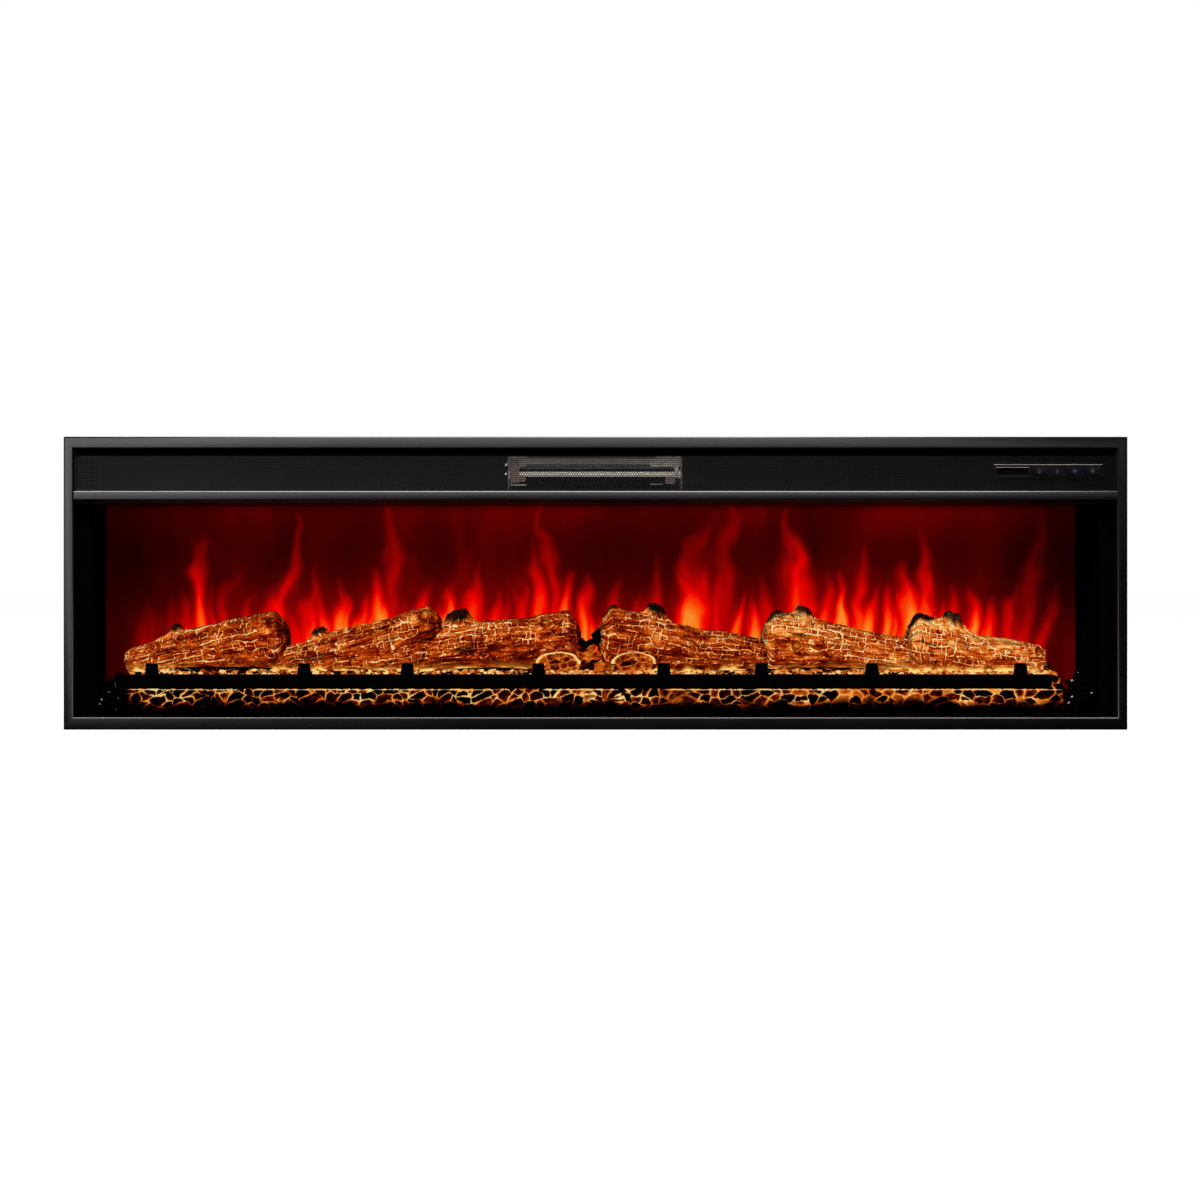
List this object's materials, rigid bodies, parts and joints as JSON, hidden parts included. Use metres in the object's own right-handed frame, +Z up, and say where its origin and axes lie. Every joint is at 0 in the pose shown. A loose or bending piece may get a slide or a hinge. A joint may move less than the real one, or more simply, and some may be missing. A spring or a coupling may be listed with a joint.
{
  "type": "electric fireplace",
  "caption": "Wide built-in electric fireplace with a glazed flame chamber, resin logs, a perforated heater grille and push-button controls.",
  "frame": {"origin": "middle of the footprint, on the surface that the fireplace stands on", "axes": "+X right as seen from the front, +Y from the front towards the back, +Z up"},
  "size_m": [1.524, 0.19, 0.42],
  "materials": {
    "frame_black": "semi-gloss black powder coat",
    "casing_black": "satin black powder coat on sheet steel",
    "grille_mesh": "black painted perforated sheet",
    "liner_black": "gloss black sheet",
    "window_glass": "clear toughened glass",
    "flame_screen": "smoked screen lit from behind",
    "reflector": "polished",
    "zinc": "zinc-plated steel",
    "log_resin": "hollow cast resin logs, painted as charred bark and lit from inside",
    "ember_resin": "translucent moulded ember bed, lit from below",
    "coal": "black resin coals",
    "grate_black": "matt black",
    "element_metal": "heating element sheath",
    "plastic_black": "black moulded plastic",
    "button_black": "black push button with a pale symbol",
    "display_black": "gloss black window",
    "circuit_board": "green circuit board with black parts",
    "gland_rubber": "black rubber"
  },
  "bodies": {
    "casing": {"front_frame": "frame_black", "centre_rail": "frame_black", "base_pan": "casing_black", "top_cover": "casing_black", "side_panel_left": "casing_black", "side_panel_right": "casing_black", "back_panel": "casing_black", "heater_deck": "casing_black", "mesh_grille": "grille_mesh", "chamber_liner_left": "liner_black", "chamber_liner_right": "liner_black", "front_glass": "window_glass", "flame_screen": "flame_screen", "flame_reflector": "reflector", "glass_clip_left": "casing_black", "glass_clip_right": "casing_black", "cover_screw_1": "zinc", "cover_screw_2": "zinc", "cover_screw_3": "zinc", "cover_screw_4": "zinc", "mounting_bracket_left": "zinc", "mounting_bracket_right": "zinc", "flame_motor": "zinc", "heater_duct": "zinc", "heater_lid": "zinc", "fan_motor": "zinc", "log_1": "log_resin", "log_2": "log_resin", "log_3": "log_resin", "log_4": "log_resin", "log_5": "log_resin", "log_6": "log_resin", "ember_bed": "ember_resin", "ember_nugget_left": "ember_resin", "ember_nugget_right": "ember_resin", "coal_heap_left": "coal", "coal_heap_right": "coal", "grate_bar": "grate_black", "heating_element_upper": "element_metal", "heating_element_lower": "element_metal", "control_bezel": "plastic_black", "rotor_bush": "plastic_black", "rotor_support": "plastic_black", "thermal_cutout": "plastic_black", "display_window": "display_black", "led_strip_flame": "circuit_board", "led_strip_embers": "circuit_board", "control_board": "circuit_board", "power_board": "circuit_board", "cord_gland": "gland_rubber"},
    "fan": {"fan_impeller": "plastic_black"},
    "flame_rotor": {"rotor_shaft": "zinc", "rotor_spinner_1": "reflector", "rotor_spinner_2": "reflector", "rotor_spinner_3": "reflector", "rotor_spinner_4": "reflector"},
    "button_power": {"button_power": "button_black"},
    "button_flame": {"button_flame": "button_black"},
    "button_heat": {"button_heat": "button_black"},
    "button_timer": {"button_timer": "button_black"}
  },
  "joints": [
    {"name": "fan_spin", "type": "hinge", "parent": "casing", "child": "fan", "pos_m": [0, 0.03, 0.3645], "axis": [1, 0, 0], "continuous": true},
    {"name": "flame_rotor_spin", "type": "hinge", "parent": "casing", "child": "flame_rotor", "pos_m": [0, 0.0538, 0.06], "axis": [1, 0, 0], "continuous": true},
    {"name": "button_power_press", "type": "slide", "parent": "casing", "child": "button_power", "axis": [0, 1, 0], "range_m": [0, 0.0015], "stiffness_N_per_m": 300, "springref_m": -0.001},
    {"name": "button_flame_press", "type": "slide", "parent": "casing", "child": "button_flame", "axis": [0, 1, 0], "range_m": [0, 0.0015], "stiffness_N_per_m": 300, "springref_m": -0.001},
    {"name": "button_heat_press", "type": "slide", "parent": "casing", "child": "button_heat", "axis": [0, 1, 0], "range_m": [0, 0.0015], "stiffness_N_per_m": 300, "springref_m": -0.001},
    {"name": "button_timer_press", "type": "slide", "parent": "casing", "child": "button_timer", "axis": [0, 1, 0], "range_m": [0, 0.0015], "stiffness_N_per_m": 300, "springref_m": -0.001}
  ]
}
